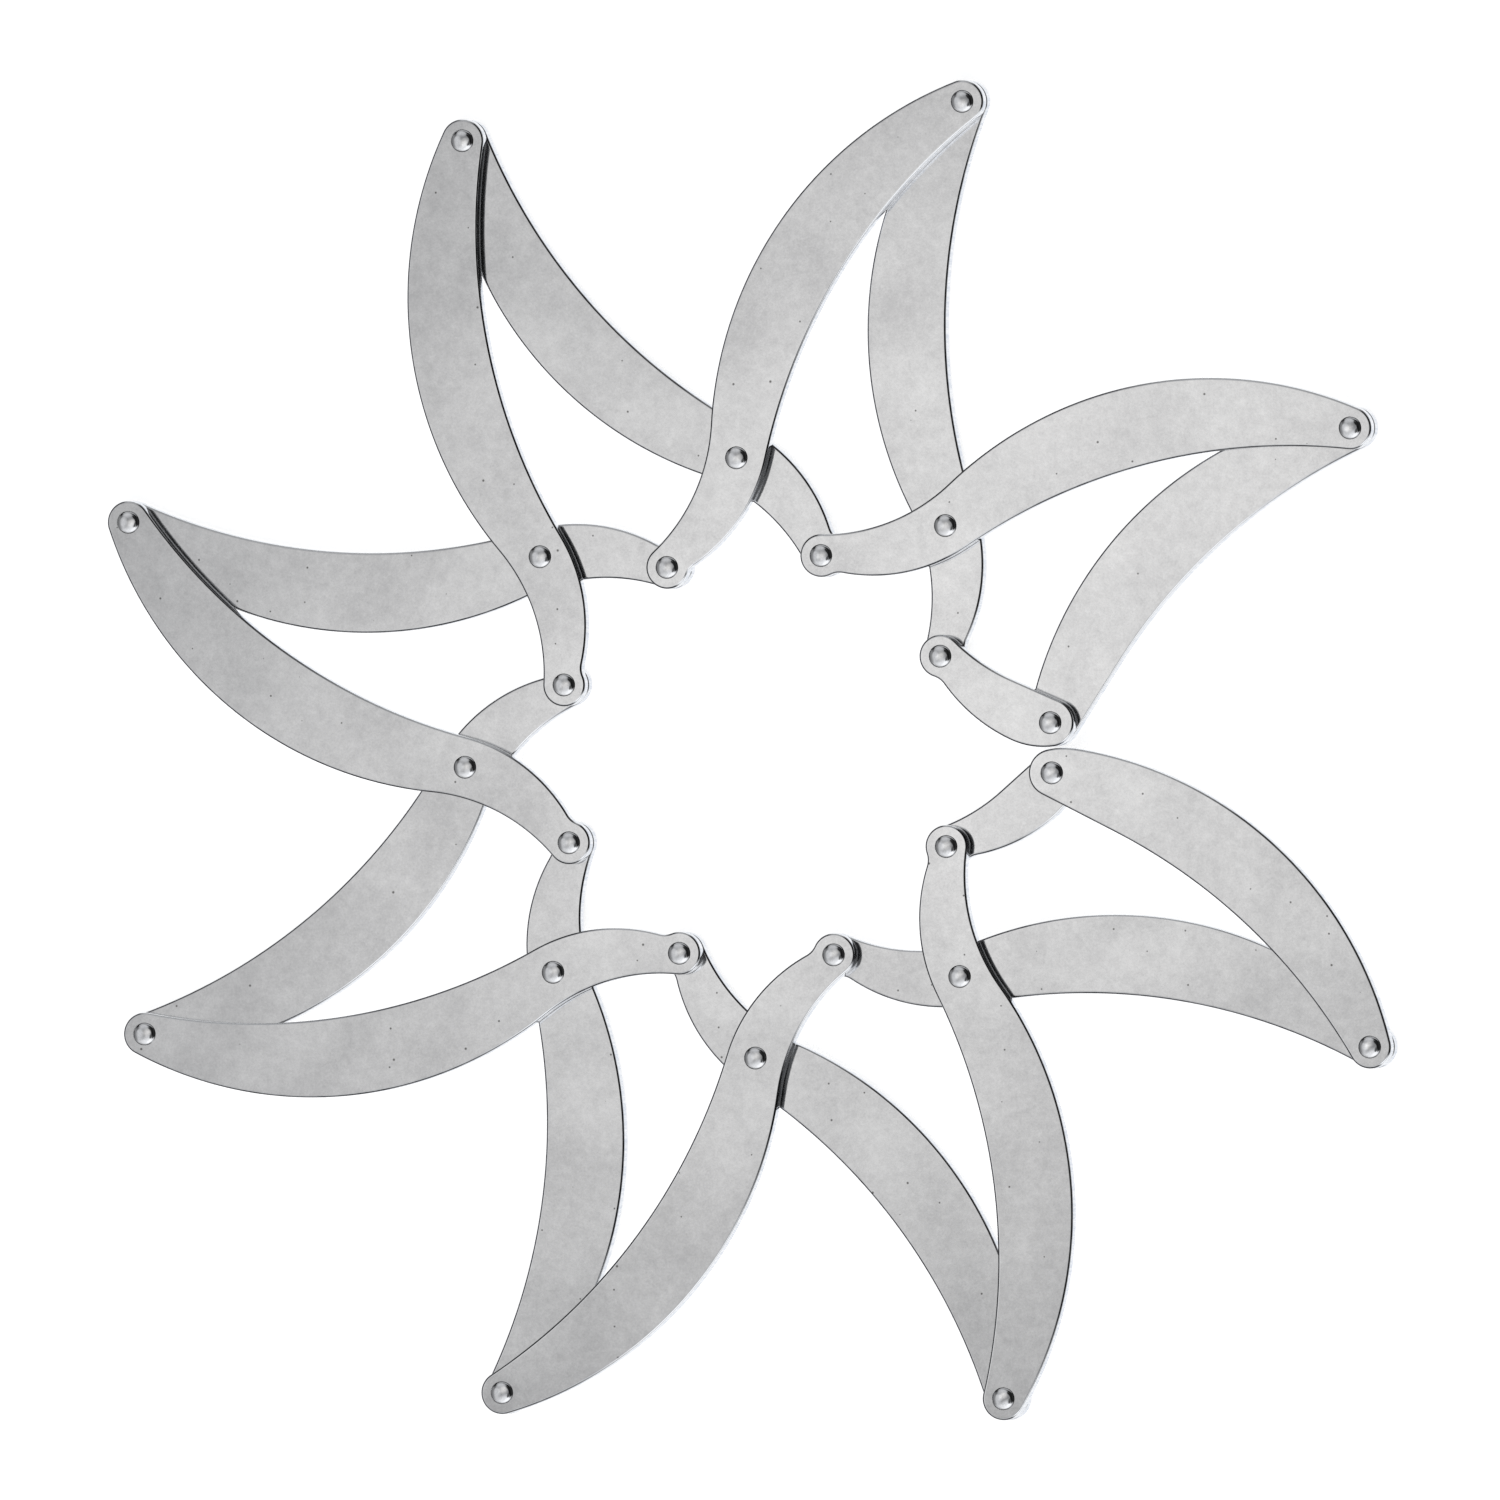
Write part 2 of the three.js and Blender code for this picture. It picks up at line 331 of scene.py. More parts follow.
def bar_tree():
    """A flat bar from its outline: a rounded edge swept round it, flat faces, and a hole at each
    pivot."""
    tree, given, output = new_shape_tree(
        "flat_bar",
        {
            "Pivots": "Object",
            "Thickness": "Float",
            "Top Rounding": "Float",
            "Bottom Rounding": "Float",
            "Flat Margin": "Float",
            "Hole Radius": "Float",
            "Sink Depth": "Float",
            "Hole Sides": "Int",
            "Rounding Steps": "Int",
            "Steel": "Material",
        },
    )
    thickness = given["Thickness"]
    top_inset = math_node(tree, "ADD", given["Top Rounding"], given["Flat Margin"])
    bottom_inset = math_node(tree, "ADD", given["Bottom Rounding"], given["Flat Margin"])
    inward_top = math_node(tree, "MULTIPLY", top_inset, -1.0)
    inward_bottom = math_node(tree, "MULTIPLY", bottom_inset, -1.0)

    # The edge's section, from the top face round the side to the bottom face
    section = add(
        tree,
        "GeometryNodeCurvePrimitiveQuadrilateral",
        {
            "Point 1": section_point(tree, inward_top, thickness),
            "Point 2": section_point(tree, 0.0, thickness),
            "Point 3": section_point(tree, 0.0, 0.0),
            "Point 4": section_point(tree, inward_bottom, 0.0),
        },
        mode="POINTS",
    )
    opened = add(
        tree, "GeometryNodeSetSplineCyclic", {"Geometry": section.outputs[0], "Cyclic": False}
    )
    corner = tree.nodes.new("GeometryNodeInputIndex").outputs[0]
    rounding = ramp(tree, corner, 1.0, 2.0, given["Top Rounding"], given["Bottom Rounding"])
    rounded = add(
        tree,
        "GeometryNodeFilletCurve",
        {"Curve": opened.outputs[0], "Radius": rounding, "Count": given["Rounding Steps"]},
        mode="POLY",
    )
    path = upright(tree, given["Geometry"])
    edge = swept(tree, path, rounded.outputs[0])

    # Holes, which may widen downwards
    pivots = add(tree, "GeometryNodeObjectInfo", {"Object": given["Pivots"]}).outputs["Geometry"]

    def hole_circle(radius):
        return add(
            tree,
            "GeometryNodeCurvePrimitiveCircle",
            {"Resolution": given["Hole Sides"], "Radius": radius},
        ).outputs[0]

    def at_pivots(shape):
        placed = add(
            tree,
            "GeometryNodeInstanceOnPoints",
            {"Points": pivots, "Instance": shape},
        )
        return add(
            tree, "GeometryNodeRealizeInstances", {"Geometry": placed.outputs[0]}
        ).outputs[0]

    circle = hole_circle(given["Hole Radius"])
    sink_circle = hole_circle(math_node(tree, "ADD", given["Hole Radius"], given["Sink Depth"]))

    def hole_wall(low, high):
        line = add(tree, "GeometryNodeCurvePrimitiveLine", {"Start": low, "End": high})
        return swept(tree, upright(tree, circle), line.outputs[0])

    bore_foot = section_point(tree, 0.0, given["Sink Depth"])
    bore = hole_wall(bore_foot, section_point(tree, 0.0, thickness))
    sink = hole_wall(section_point(tree, given["Sink Depth"], 0.0), bore_foot)

    # Flat faces
    def face(inward, circles, height):
        slide = add(
            tree,
            "ShaderNodeVectorMath",
            {0: tree.nodes.new("GeometryNodeInputNormal").outputs[0], "Scale": inward},
            operation="SCALE",
        )
        inset = add(
            tree, "GeometryNodeSetPosition", {"Geometry": path, "Offset": slide.outputs[0]}
        )
        loops = joined(tree, [inset.outputs[0], at_pivots(circles)])
        filled = add(tree, "GeometryNodeFillCurve", {"Curve": loops}, mode="TRIANGLES")
        return add(
            tree,
            "GeometryNodeTransform",
            {"Geometry": filled.outputs[0], "Translation": point(tree, 0.0, 0.0, height)},
        ).outputs[0]

    top = face(inward_top, circle, thickness)
    bottom = face(inward_bottom, sink_circle, 0.0)
    turned_over = add(tree, "GeometryNodeFlipFaces", {"Mesh": bottom}).outputs[0]
    walls = at_pivots(joined(tree, [bore, sink]))
    finish_shape(tree, [edge, top, turned_over, walls], given["Steel"], output)
    return tree


def rivet_tree():
    """A turned rivet: a domed head, a shank, and a tail peened to a cone."""
    tree, given, output = new_shape_tree(
        "domed_rivet",
        {
            "Shank Radius": "Float",
            "Shank Foot": "Float",
            "Shank Top": "Float",
            "Head Radius": "Float",
            "Head Level": "Float",
            "Head Top": "Float",
            "Crown Slope": "Float",
            "Shoulder Slope": "Float",
            "Shoulder Power": "Float",
            "Tail Radius": "Float",
            "Tail Level": "Float",
            "Tail Depth": "Float",
            "With Head": "Bool",
            "With Tail": "Bool",
            "Sides": "Int",
            "Dome Rings": "Int",
            "Steel": "Material",
        },
    )
    shank_radius = given["Shank Radius"]
    shank_foot = given["Shank Foot"]
    shank_top = given["Shank Top"]
    head_radius = given["Head Radius"]
    head_level = given["Head Level"]
    head_top = given["Head Top"]
    tail_level = given["Tail Level"]
    circle = add(
        tree,
        "GeometryNodeCurvePrimitiveCircle",
        {"Resolution": given["Sides"], "Radius": shank_radius},
    )
    path = upright(tree, circle.outputs[0])

    # A section's points are measured out from the shank's surface, so the axis lies inwards.
    axis = math_node(tree, "MULTIPLY", shank_radius, -1.0)
    lip = math_node(tree, "SUBTRACT", head_radius, shank_radius)
    tail_lip = math_node(tree, "SUBTRACT", given["Tail Radius"], shank_radius)
    tail_top = math_node(tree, "ADD", tail_level, given["Tail Depth"])

    def line(x1, y1, x2, y2):
        ends = {"Start": section_point(tree, x1, y1), "End": section_point(tree, x2, y2)}
        return swept(tree, path, add(tree, "GeometryNodeCurvePrimitiveLine", ends).outputs[0])

    # The head is nearly flat in the middle and turns down steeply at its shoulder. Its slope at a
    # share of the radius is crown * share + shoulder * share ** power, and its drop is that slope
    # added up from the middle.
    def drop(share):
        square = math_node(tree, "POWER", share, 2.0)
        crown = math_node(tree, "MULTIPLY", square, given["Crown Slope"])
        power = math_node(tree, "ADD", given["Shoulder Power"], 1.0)
        steep = math_node(tree, "POWER", share, power)
        shoulder = math_node(tree, "MULTIPLY", steep, given["Shoulder Slope"])
        slopes = math_node(
            tree,
            "ADD",
            math_node(tree, "MULTIPLY", crown, 0.5),
            math_node(tree, "DIVIDE", shoulder, power),
        )
        return math_node(tree, "MULTIPLY", slopes, head_radius)

    ends = {"Start": point(tree, 0.0, 0.0), "End": point(tree, 1.0, 0.0)}
    spoke = add(tree, "GeometryNodeCurvePrimitiveLine", ends)
    stations = add(
        tree,
        "GeometryNodeResampleCurve",
        {"Curve": spoke.outputs[0], "Count": given["Dome Rings"]},
    )
    place = tree.nodes.new("GeometryNodeInputPosition").outputs[0]
    station = add(tree, "ShaderNodeSeparateXYZ", {0: place}).outputs["X"]
    share = math_node(tree, "SINE", math_node(tree, "MULTIPLY", station, math.pi / 2))
    out = math_node(
        tree, "SUBTRACT", math_node(tree, "MULTIPLY", share, head_radius), shank_radius
    )
    height = math_node(tree, "SUBTRACT", head_top, drop(share))
    dome = add(
        tree,
        "GeometryNodeSetPosition",
        {"Geometry": stations.outputs[0], "Position": section_point(tree, out, height)},
    )
    rim_level = math_node(tree, "SUBTRACT", head_top, drop(1.0))

    def either(switch, if_true, if_false):
        return add(
            tree, "GeometryNodeSwitch", {"Switch": switch, "True": if_true, "False": if_false}
        ).outputs[0]

    head = joined(
        tree,
        [
            swept(tree, path, dome.outputs[0]),
            line(lip, rim_level, lip, head_level),
            line(lip, head_level, 0.0, head_level),
            line(0.0, head_level, 0.0, shank_top),
        ],
    )
    tail = joined(
        tree,
        [
            line(0.0, shank_foot, 0.0, tail_top),
            line(0.0, tail_top, tail_lip, tail_level),
            line(tail_lip, tail_level, axis, tail_level),
        ],
    )
    parts = [
        either(given["With Head"], head, line(axis, shank_top, 0.0, shank_top)),
        line(0.0, shank_top, 0.0, shank_foot),
        either(given["With Tail"], tail, line(0.0, shank_foot, axis, shank_foot)),
    ]
    finish_shape(tree, parts, given["Steel"], output)
    return tree


def set_inputs(modifier, values):
    for item in modifier.node_group.interface.items_tree:
        if item.item_type == "SOCKET" and item.in_out == "INPUT" and item.name in values:
            modifier[item.identifier] = values[item.name]


def shaped(blank, tree, values):
    """The mesh that a tree makes of a blank object, which is then thrown away."""
    modifier = blank.modifiers.new("shape", "NODES")
    modifier.node_group = tree
    set_inputs(modifier, values)
    bpy.context.view_layer.update()
    evaluated = blank.evaluated_get(bpy.context.evaluated_depsgraph_get())
    mesh = bpy.data.meshes.new_from_object(evaluated)
    bpy.data.objects.remove(blank)
    face_out(mesh)
    return mesh


def face_out(mesh):
    """Turns the faces outwards if the closed mesh is inside out."""
    body = bmesh.new()
    body.from_mesh(mesh)
    bmesh.ops.recalc_face_normals(body, faces=body.faces)
    if body.calc_volume(signed=True) < 0:
        bmesh.ops.reverse_faces(body, faces=body.faces)
    body.to_mesh(mesh)
    body.free()


def linked(name, data):
    obj = bpy.data.objects.new(name, data)
    bpy.context.scene.collection.objects.link(obj)
    return obj


# Bar outlines, in a bar's own frame: the tip pivot is the origin and the other two lie on +X.
def circles_meet(centre_a, radius_a, centre_b, radius_b, side):
    """Where two circles cross, to the left of the way from A to B if side is 1, to the right if
    -1."""
    way = centre_b - centre_a
    distance = way.length
    along = (radius_a**2 - radius_b**2 + distance**2) / (2 * distance)
    across = side * math.sqrt(radius_a**2 - along**2)
    way.normalize()
    return centre_a + way * along + Vector((-way.y, way.x)) * across


def bar_outlines():
    """The loops of discs that the whole bar and the two half bars run round, with their pivots. A
    disc of negative radius hollows."""
    tip = Vector((0, 0))
    crossing = Vector((LONG_ARM, 0))
    inner = Vector((LONG_ARM + SHORT_ARM, 0))
    belly = circles_meet(
        tip,
        BELLY_RADIUS - EYE_RADIUS,
        crossing,
        BELLY_RADIUS - END_EYE_RADIUS - BELLY_MARGIN,
        1,
    )
    hollow = circles_meet(
        tip,
        HOLLOW_RADIUS + EYE_RADIUS,
        crossing,
        HOLLOW_RADIUS + END_EYE_RADIUS + HOLLOW_MARGIN,
        1,
    )
    throat = circles_meet(
        belly, BELLY_RADIUS + THROAT_RADIUS, inner, THROAT_RADIUS + EYE_RADIUS, -1
    )
    shoulder = circles_meet(
        hollow, HOLLOW_RADIUS + SHOULDER_RADIUS, inner, SHOULDER_RADIUS - NOSE_DEPTH, -1
    )
    fillet = circles_meet(
        shoulder, SHOULDER_RADIUS + NOSE_FILLET, inner, EYE_RADIUS + NOSE_FILLET, 1
    )

    def end_blend(centre, radius):
        reach = radius - END_BLEND_RADIUS
        blend = circles_meet(centre, reach, crossing, END_BLEND_RADIUS - END_EYE_RADIUS, -1)
        return (blend, END_BLEND_RADIUS)

    tip_eye = (tip, EYE_RADIUS)
    inner_eye = (inner, EYE_RADIUS)
    end_eye = (crossing, END_EYE_RADIUS)
    belly_edge = (belly, BELLY_RADIUS)
    hollow_edge = (hollow, -HOLLOW_RADIUS)
    throat_edge = (throat, -THROAT_RADIUS)
    shoulder_edge = (shoulder, SHOULDER_RADIUS)
    fillet_edge = (fillet, -NOSE_FILLET)
    whole = [
        tip_eye,
        belly_edge,
        throat_edge,
        inner_eye,
        fillet_edge,
        shoulder_edge,
        hollow_edge,
    ]
    long_end = [tip_eye, belly_edge, end_blend(*belly_edge), end_eye, hollow_edge]
    short_end = [
        end_eye,
        throat_edge,
        inner_eye,
        fillet_edge,
        shoulder_edge,
        end_blend(*shoulder_edge),
    ]
    return {
        "whole": (whole, [tip, crossing, inner]),
        "long_end": (long_end, [tip, crossing]),
        "short_end": (short_end, [crossing, inner]),
    }


def angle_of(way):
    return math.atan2(way.y, way.x)


def outline_round(discs):
    """Points counter-clockwise round a loop of discs and along the tangents between them."""
    discs = [(centre, radius - OUTLINE_INSET) for centre, radius in discs]
    normals = []
    for i, (centre, radius) in enumerate(discs):
        next_centre, next_radius = discs[(i + 1) % len(discs)]
        way = next_centre - centre
        rise = max(-1.0, min(1.0, (next_radius - radius) / way.length))
        normals.append(angle_of(way) + math.acos(rise))
    points = []
    for i, (centre, radius) in enumerate(discs):
        turning = math.copysign(1, radius)
        start = normals[i - 1]
        sweep = (turning * (normals[i] - start)) % (2 * math.pi)
        steps = math.ceil(sweep / (2 * math.acos(1 - OUTLINE_SAGITTA / abs(radius))))
        for step in range(steps + 1):
            angle = start + turning * sweep * step / steps
            points.append(centre - Vector((math.cos(angle), math.sin(angle))) * radius)
    return [p for i, p in enumerate(points) if (p - points[i - 1]).length > OUTLINE_GAP]


def outline_object(discs):
    points = outline_round(discs)
    curve = bpy.data.curves.new("bar_outline", "CURVE")
    curve.dimensions = "3D"
    spline = curve.splines.new("POLY")
    spline.points.add(len(points) - 1)
    for target, p in zip(spline.points, points):
        target.co = (p.x, p.y, 0.0, 1.0)
    spline.use_cyclic_u = True
    return linked("bar_outline", curve)


def pivot_object(pivots):
    mesh = bpy.data.meshes.new("bar_pivots")
    mesh.from_pydata([(p.x, p.y, 0.0) for p in pivots], [], [])
    return linked("bar_pivots", mesh)


# Finishes
def new_material(name):
    material = bpy.data.materials.new(name)
    material.use_nodes = True
    material.node_tree.nodes.clear()
    return material, material.node_tree


def give_surface(tree, shader, output="ShaderNodeOutputMaterial"):
    tree.links.new(shader.outputs[0], tree.nodes.new(output).inputs["Surface"])


def noise(tree, place, size, detail, roughness, seed):
    """Noise whose lumps are about as large as size."""
    return add(
        tree,
        "ShaderNodeTexNoise",
        {
            "Vector": place,
            "Scale": 1.0 / size,
            "Detail": detail,
            "Roughness": roughness,
            "W": seed,
        },
        noise_dimensions="4D",
    ).outputs["Fac"]


def colour_mix(tree, share, first, second, blend="MIX"):
    node = tree.nodes.new("ShaderNodeMix")
    node.data_type = "RGBA"
    node.blend_type = blend
    for index, value in ((0, share), (6, first), (7, second)):
        if isinstance(value, bpy.types.NodeSocket):
            tree.links.new(value, node.inputs[index])
        else:
            node.inputs[index].default_value = value
    return node.outputs[2]


def direction(azimuth, zenith_angle):
    """A direction in the part's frame: azimuth from +X towards +Y, in degrees, and degrees off
    straight up."""
    a = math.radians(azimuth)
    z = math.radians(zenith_angle)
    return Vector((math.cos(a) * math.sin(z), math.sin(a) * math.sin(z), math.cos(z)))


def surface_normal(tree):
    return tree.nodes.new("ShaderNodeNewGeometry").outputs["Normal"]


def flatness_of(tree, normal):
    """1 where the surface lies flat, 0 where it stands upright."""
    height = add(tree, "ShaderNodeSeparateXYZ", {0: normal}).outputs["Z"]
    return math_node(tree, "ABSOLUTE", height)


def steel_surface(tree, colour, gloss, relief, bump, depth):
    normal = add(
        tree, "ShaderNodeBump", {"Strength": bump, "Distance": depth, "Height": relief}
    ).outputs[0]
    steel = add(
        tree,
        "ShaderNodeBsdfPrincipled",
        {"Base Color": colour, "Metallic": 1.0, "Roughness": gloss, "Normal": normal},
    )
    give_surface(tree, steel)


def dark_specks(tree, place):
    """Small round pinholes, in some of the cells of a random pattern, and not all equally dark."""
    cells = add(
        tree,
        "ShaderNodeTexVoronoi",
        {"Vector": place, "Scale": 1.0 / SPECK_SPACING, "Randomness": 1.0},
        feature="F1",
        voronoi_dimensions="2D",
    )
    chance = add(tree, "ShaderNodeSeparateColor", {0: cells.outputs["Color"]}).outputs[0]
    size = ramp(tree, chance, SPECK_CHANCE, 1.0, *SPECK_SIZES)
    core = math_node(tree, "MULTIPLY", size, 0.5)
    darkness = ramp(tree, chance, SPECK_CHANCE, SPECK_CHANCE + 0.1)
    return ramp(tree, cells.outputs["Distance"], size, core, 0.0, darkness)


def lit_edges(tree, normal, sloping):
    """Where the rounded edges face a low light: the mask of a painted highlight."""
    level = vector_node(tree, "MULTIPLY", normal, (1.0, 1.0, 0.0))
    outward = vector_node(tree, "NORMALIZE", level)
    lit = 0.0
    for azimuth, strength in LOW_LIGHTS:
        towards = vector_node(tree, "DOT_PRODUCT", outward, direction(azimuth, 90))
        share = ramp(tree, towards, *LOW_LIGHT_COSINES, 0.0, strength)
        lit = math_node(tree, "ADD", lit, share)
    return math_node(tree, "MULTIPLY", lit, sloping)


def satin_steel():
    """Worn bright steel: faces with a faint cloudy mottle and a few dark specks, a painted shade
    line along the rounded edges, washed out by a painted highlight where the edges face a low
    light, and sheared sides with upright streaks."""
    material, tree = new_material("bar_steel_wear_and_painted_shade")
    place = tree.nodes.new("ShaderNodeTexCoord").outputs["Object"]
    normal = surface_normal(tree)
    flatness = flatness_of(tree, normal)
    sloping = ramp(tree, flatness, *EDGE_FLATNESS)
    side = ramp(tree, flatness, *SIDE_FLATNESS)
    clouds = noise(tree, place, 12 * MM, detail=2.0, roughness=0.5, seed=1.3)
    mottle = noise(tree, place, 1.4 * MM, detail=4.0, roughness=0.66, seed=4.1)
    grain = noise(tree, place, 0.3 * MM, detail=2.0, roughness=0.6, seed=7.7)
    # Patches in which the painted edge shade is laid on more strongly
    edge_shade_patches = noise(tree, place, 2.5 * MM, detail=2.0, roughness=0.5, seed=9.4)
    drawn_out = vector_node(tree, "MULTIPLY", place, (1.0, 1.0, 0.08))
    streaks = noise(tree, drawn_out, 0.45 * MM, detail=3.0, roughness=0.6, seed=5.2)
    specks = dark_specks(tree, place)

    # Colour: the face, then its specks, the painted shade line along the edges, the painted
    # highlight on edges that face a low light, and the sides
    cloudy = math_node(tree, "MULTIPLY", math_node(tree, "ADD", clouds, mottle), 1.35)
    spread = math_node(tree, "DIVIDE", math_node(tree, "ADD", cloudy, grain), 3.7)
    face = colour_mix(tree, ramp(tree, spread, 0.37, 0.63), FACE_DARK, FACE_BRIGHT)
    speck_share = math_node(tree, "MULTIPLY", specks, SPECK_SHARE)
    specked = colour_mix(tree, speck_share, face, SPECK_COLOUR)
    # Painted shade: a dark line on the rounded edges, stronger in patches, in place of the shade
    # and dark reflections along the edges
    edge_shade_patchiness = math_node(tree, "MULTIPLY", math_node(tree, "ADD", edge_shade_patches, clouds), 0.5)
    edge_shade_share = math_node(
        tree, "MULTIPLY", sloping, ramp(tree, edge_shade_patchiness, 0.38, 0.6, *EDGE_SHADE_SHARES)
    )
    edge_shaded = colour_mix(tree, edge_shade_share, specked, EDGE_SHADE_COLOUR)
    # Painted highlight: the edges that face a low light are coloured light
    edge_painted_highlight = colour_mix(tree, lit_edges(tree, normal, sloping), edge_shaded, LIT_EDGE_COLOUR)
    streaky = colour_mix(tree, ramp(tree, streaks, 0.35, 0.65), STREAK_DARK, STREAK_BRIGHT)
    colour = colour_mix(tree, side, edge_painted_highlight, streaky)

    # Gloss
    face_gloss = ramp(tree, mottle, 0.3, 0.7, *BAR_GLOSS)
    edge_gloss = math_node(tree, "MULTIPLY", sloping, EDGE_GLOSS)
    gloss = math_node(tree, "ADD", face_gloss, edge_gloss)

    # Relief
    fine = math_node(tree, "MULTIPLY", grain, 0.3)
    rough = math_node(tree, "ADD", fine, math_node(tree, "MULTIPLY", mottle, 0.7))
    ribbed = math_node(tree, "ADD", rough, math_node(tree, "MULTIPLY", streaks, side))
    relief = math_node(tree, "SUBTRACT", ribbed, math_node(tree, "MULTIPLY", specks, 0.6))
    steel_surface(tree, colour, gloss, relief, BAR_BUMP, BAR_BUMP_DEPTH)
    return material


def polished_steel():
    """Polished rivet heads: bright steel with fine rub marks, a slightly uneven dome and patchy
    painted shade where the dome turns down steeply at its foot."""
    material, tree = new_material("polished_rivet_steel")
    place = tree.nodes.new("ShaderNodeTexCoord").outputs["Object"]
    waves = noise(tree, place, 1.1 * MM, detail=1.0, roughness=0.4, seed=3.3)
    marks = noise(tree, place, 0.25 * MM, detail=3.0, roughness=0.6, seed=8.5)
    rubbed = colour_mix(tree, ramp(tree, marks, 0.35, 0.7), DOME_BRIGHT, DOME_RUBBED)
    flatness = flatness_of(tree, surface_normal(tree))
    # Painted shade on the dome's steep foot, in patches
    foot = math_node(
        tree,
        "MULTIPLY",
        ramp(tree, flatness, *DOME_FOOT_FLATNESS),
        ramp(tree, waves, 0.35, 0.6, *DOME_FOOT_SHARES),
    )
    colour = colour_mix(tree, foot, rubbed, DOME_FOOT_SHADE)
    gloss = ramp(tree, marks, 0.3, 0.7, *RIVET_GLOSS)
    relief = math_node(tree, "ADD", waves, math_node(tree, "MULTIPLY", marks, 0.15))
    steel_surface(tree, colour, gloss, relief, RIVET_BUMP, RIVET_BUMP_DEPTH)
    return material


# The trivet's pieces
def pivot_place(rivet):
    low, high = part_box(rivet)
    middle = (low + high) / 2
    return Vector((middle.x, middle.y))


def bar_list():
    """Each bar's shape, and the rivets at its tip, crossing and inner pivots."""
    bars = {
        "upper_long_end_bar": ("long_end", "tip_rivet_1", "end_rivet_1", None),
        "upper_short_end_bar": ("short_end", None, "end_rivet_2", f"inner_rivet_head_{PETALS}"),
        "lower_short_end_bar": ("short_end", None, "end_rivet_1", "inner_rivet_tail_1"),
        "lower_long_end_bar": ("long_end", f"tip_rivet_{PETALS}", "end_rivet_2", None),
    }
    for number in range(1, WHOLE_BARS + 1):
        crossing = f"crossing_rivet_{number}"
        bars[f"upper_bar_{number}"] = (
            "whole",
            f"tip_rivet_{number + 1}",
            crossing,
            f"inner_rivet_head_{number}",
        )
        bars[f"lower_bar_{number}"] = (
            "whole",
            f"tip_rivet_{number}",
            crossing,
            f"inner_rivet_tail_{number + 1}",
        )
    return bars


def bar_placement(tip, crossing, inner, level):
    """Lays a bar made in its own frame through its pivots."""
    middle = pivot_place(crossing)
    way = middle - pivot_place(tip) if tip else pivot_place(inner) - middle
    start = middle - way.normalized() * LONG_ARM
    turn = Matrix.Rotation(angle_of(way), 4, "Z")
    return Matrix.Translation((start.x, start.y, level)) @ turn


def make_bars(steel):
    tree = bar_tree()
    blanks = {}
    for shape, (discs, pivots) in bar_outlines().items():
        for layer, sink in (("upper", 0.0), ("lower", SINK_DEPTH)):
            at = pivot_object(pivots)
            blanks[layer, shape] = shaped(
                outline_object(discs),
                tree,
                {
                    "Pivots": at,
                    "Thickness": BAR_THICKNESS,
                    "Top Rounding": TOP_ROUNDING,
                    "Bottom Rounding": BOTTOM_ROUNDING,
                    "Flat Margin": FLAT_MARGIN,
                    "Hole Radius": HOLE_RADIUS,
                    "Sink Depth": sink,
                    "Hole Sides": RIVET_SIDES,
                    "Rounding Steps": ROUNDING_STEPS,
                    "Steel": steel,
                },
            )
            bpy.data.objects.remove(at)
    for node, (shape, tip, crossing, inner) in bar_list().items():
        layer = node.split("_")[0]
        mesh = blanks[layer, shape].copy()
        level = UPPER_LEVEL if layer == "upper" else 0.0
        mesh.transform(bar_placement(tip, crossing, inner, level))
        add_piece(node, mesh, node)


def rivet_mesh(tree, steel, changes=None):
    values = {
        "Shank Radius": SHANK_RADIUS,
        "Shank Foot": TAIL_LEVEL + TAIL_DEPTH,
        "Shank Top": HEAD_LEVEL,
        "Head Radius": HEAD_RADIUS,
        "Head Level": HEAD_LEVEL,
        "Head Top": HEAD_TOP,
        "Crown Slope": CROWN_SLOPE,
        "Shoulder Slope": SHOULDER_SLOPE,
        "Shoulder Power": SHOULDER_POWER,
        "Tail Radius": TAIL_RADIUS,
        "Tail Level": TAIL_LEVEL,
        "Tail Depth": TAIL_DEPTH,
        "With Head": True,
        "With Tail": True,
        "Sides": RIVET_SIDES,
        "Dome Rings": DOME_RINGS,
        "Steel": steel,
    }
    values.update(changes or {})
    blank = linked("rivet_blank", bpy.data.meshes.new("rivet_blank"))
    return shaped(blank, tree, values)


def make_rivets(steel):
    tree = rivet_tree()
    whole = rivet_mesh(tree, steel)
    head_half = rivet_mesh(tree, steel, {"With Tail": False, "Shank Foot": UPPER_LEVEL})
    tail_half = rivet_mesh(tree, steel, {"With Head": False, "Shank Top": BAR_THICKNESS})
    for node, obj in frame["nodes"].items():
        if "rivet" not in node:
            continue
        blank = whole
        if node.startswith("inner_rivet_head"):
            blank = head_half
        elif node.startswith("inner_rivet_tail"):
            blank = tail_half
        mesh = blank.copy()
        at = pivot_place(node)
        mesh.transform(Matrix.Translation((at.x, at.y, 0.0)))
        add_piece(node, mesh, obj["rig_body"])


def add_piece(node, mesh, body):
    mesh.name = f"{node}_finished"
    piece = linked(f"{node}_finished", mesh)
    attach(piece, body)
    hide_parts(node)


# Studio
def make_camera():
    """A long lens from almost straight above, leaning towards the cut."""
    right = Vector(
        (
            math.cos(CAMERA_ROLL) * math.cos(CAMERA_TILT),
            -math.sin(CAMERA_ROLL) * math.cos(CAMERA_TILT),
            -math.sin(CAMERA_TILT),
        )
    )
    up = Vector((math.sin(CAMERA_ROLL), math.cos(CAMERA_ROLL), 0.0))
    back = right.cross(up)
    middle = RING_CENTRE - right * AIM_LEFT + up * AIM_UP
    data = bpy.data.cameras.new("studio_camera")
    data.sensor_width = SENSOR_WIDTH
    data.lens = SENSOR_WIDTH / 2 * CAMERA_DISTANCE / VIEW_HALF_WIDTH
    data.clip_start = CAMERA_NEAR
    data.clip_end = CAMERA_FAR
    camera = linked("studio_camera", data)
    axes = Matrix((right, up, back)).transposed().to_4x4()
    camera.matrix_world = Matrix.Translation(middle + back * CAMERA_DISTANCE) @ axes
    bpy.context.scene.camera = camera


